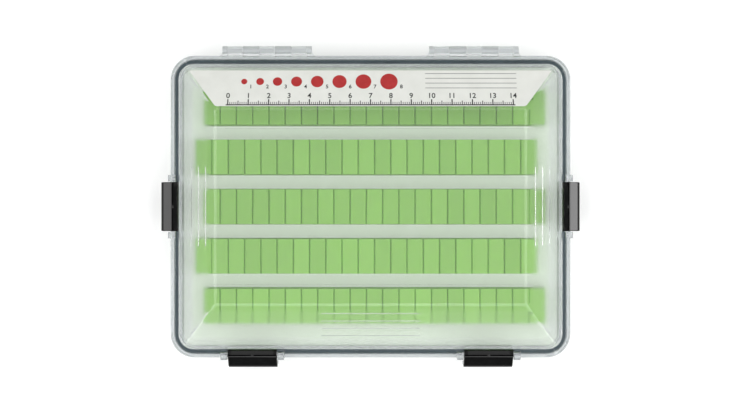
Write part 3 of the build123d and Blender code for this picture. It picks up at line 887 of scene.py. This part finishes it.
ruler = []
for name, pitch, width, height in RULER_BARS:
    ruler.append(marks(name, -RULER_HALF, RULER_FOOT, width, height, 2 * RULER_HALF // pitch + 1, pitch))
ruler.append(marks("ruler_base", 0, BASE_FOOT, 2 * (RULER_HALF + BASE_SPARE), BASE_HEIGHT))
for step in range(2 * RULER_HALF // 10 + 1):
    ruler.append(numeral(step, step * 10 - RULER_HALF, RULER_NUMBER_Y, RULER_NUMBER_SIZE))
dots = []
dot_x = DOT_START
for number in range(1, DOT_COUNT + 1):
    radius = DOT_SMALLEST + DOT_RISE * number
    dot_x += radius + DOT_GAP
    dots.append(dot(dot_x, DOT_Y, radius))
    ruler.append(numeral(number, dot_x + radius + DOT_NUMBER_GAP, DOT_NUMBER_Y, DOT_NUMBER_SIZE))
    dot_x += radius + DOT_GAP
lines = [marks("write_line", LINE_MIDDLE, level, LINE_LENGTH, LINE_HEIGHT) for level in LINE_LEVELS]
ink_piece("sticker_ruler", ruler, ink("black_ink", (0.012, 0.012, 0.012), (0.02, 0.02, 0.02)))
ink_piece("sticker_dots", dots, ink("red_ink", (0.42, 0.022, 0.022), (0.5, 0.03, 0.03)))
ink_piece("sticker_lines", lines, ink("grey_ink", (0.2, 0.2, 0.2), (0.26, 0.26, 0.26)))

# %% [markdown]
# The floor is pale. It shows itself white to the camera, to reflections and through glass by a little
# emission that fades towards the box, so that the box keeps its shadow.

# %% Floor
FLOOR_SIZE, FLOOR_GREY = 24.0, (0.85, 0.85, 0.85, 1)
GLOW_NEAR, GLOW_FAR, GLOW_FROM, GLOW_TO = 0.27, 1.0, 0.25, 1.2
deselect_all()
bpy.ops.mesh.primitive_plane_add(size=FLOOR_SIZE, location=(0, 0, 0))
floor = bpy.context.object
floor.name = "floor"
material, tree, shader = new_finish("pale_floor")
set_shader(
    shader, Base_Color=FLOOR_GREY, Roughness=0.9, Specular_IOR_Level=0.0, Emission_Color=(1, 1, 1, 1)
)
place = add_node(tree, "TexCoord")
away = add_node(tree, "VectorMath", operation="LENGTH")
tree.links.new(place.outputs["Object"], away.inputs[0])
glow = spread(tree, away.outputs["Value"], GLOW_NEAR, GLOW_FAR, GLOW_FROM, GLOW_TO)
looks = ray_kind(tree, "Is Camera Ray", "Is Glossy Ray", "Is Transmission Ray")
tree.links.new(calculate(tree, "MULTIPLY", glow, looks), shader.inputs["Emission Strength"])
coat(floor, material)
print("floor", FLOOR_SIZE, "m wide")

# %% [markdown]
# The room is white where the camera sees it and through glass. As a light, and as a reflection, it is
# dimmer, so that the lamps draw the shapes.

# %% Room
ROOM_SEEN, ROOM_LIGHT, ROOM_MIRRORED = 1.0, 0.28, -0.16
world = bpy.data.worlds.new("studio")
bpy.context.scene.world = world
world.use_nodes = True
tree = world.node_tree
room = tree.nodes["Background"]
room.inputs["Color"].default_value = (0.98, 0.99, 1.0, 1)
in_sight = ray_kind(tree, "Is Camera Ray", "Is Transmission Ray")
seen = spread(tree, in_sight, ROOM_LIGHT, ROOM_SEEN, 0.0, 1.0)
mirrored = spread(tree, ray_kind(tree, "Is Glossy Ray"), 0.0, ROOM_MIRRORED, 0.0, 1.0)
tree.links.new(calculate(tree, "ADD", seen, mirrored), room.inputs["Strength"])
print("room", world.name, "has", len(tree.nodes), "nodes")

# %% [markdown]
# Four softboxes stand in a ring high above the box. Seen in the flat panel and the bevels they are out of
# sight; only the rounded edges between them mirror the lamps, which draws the thin bright lines on the
# lid. Two small lamps at the front corners light up the mitres, and two low strips the facets of the side
# latches.

# %% Lamps
# Each row: name, bearing from +X and tilt from upright in degrees, distance, width and depth in metres,
# and brightness.
LAMPS = [
    ("front_softbox", -90, 26, 1.3, 1.3, 0.6, 2.35),
    ("rear_softbox", 90, 25, 1.3, 1.2, 0.6, 1.1),
    ("left_softbox", 180, 27, 1.3, 0.8, 0.52, 2.3),
    ("right_softbox", 0, 27, 1.3, 0.8, 0.52, 2.3),
    ("front_left_corner_lamp", -142, 42, 1.3, 0.25, 0.25, 3.4),
    ("front_right_corner_lamp", -38, 42, 1.3, 0.25, 0.25, 3.4),
    ("left_low_strip", 180, 79, 1.2, 0.8, 0.32, 2.4),
    ("right_low_strip", 0, 79, 1.2, 0.8, 0.32, 5.2),
]
scene = bpy.context.scene
for name, bearing, tilt, distance, width, depth, brightness in LAMPS:
    light = bpy.data.lights.new(name, "AREA")
    light.shape = "RECTANGLE"
    light.size = width
    light.size_y = depth
    light.energy = brightness * math.pi * width * depth
    lamp = bpy.data.objects.new(name, light)
    scene.collection.objects.link(lamp)
    bearing, tilt = math.radians(bearing), math.radians(tilt)
    out = Vector((math.sin(tilt) * math.cos(bearing), math.sin(tilt) * math.sin(bearing), math.cos(tilt)))
    lamp.location = out * distance
    lamp.rotation_mode = "QUATERNION"
    lamp.rotation_quaternion = (-out).to_track_quat("-Z", "Y")
    print(name, "gives", round(light.energy, 2), "W")

# %% [markdown]
# The camera looks straight down, as in the photograph. Its lens follows from how much it sees at the
# height of the rim: a picture 369 mm wide from 560 mm above.

# %% Camera
CAMERA_PLACE = (-0.00075, -0.0007, 0.5834)
SENSOR_WIDTH, ABOVE_RIM, PICTURE_WIDTH = 36.0, 560.0, 369.0
camera_data = bpy.data.cameras.new("photo_camera")
camera = bpy.data.objects.new("photo_camera", camera_data)
scene.collection.objects.link(camera)
camera.location = CAMERA_PLACE
camera_data.sensor_width = SENSOR_WIDTH
camera_data.lens = SENSOR_WIDTH * ABOVE_RIM / PICTURE_WIDTH
scene.camera = camera
scene.view_settings.view_transform = "Standard"
print("lens", round(camera_data.lens, 2), "mm")
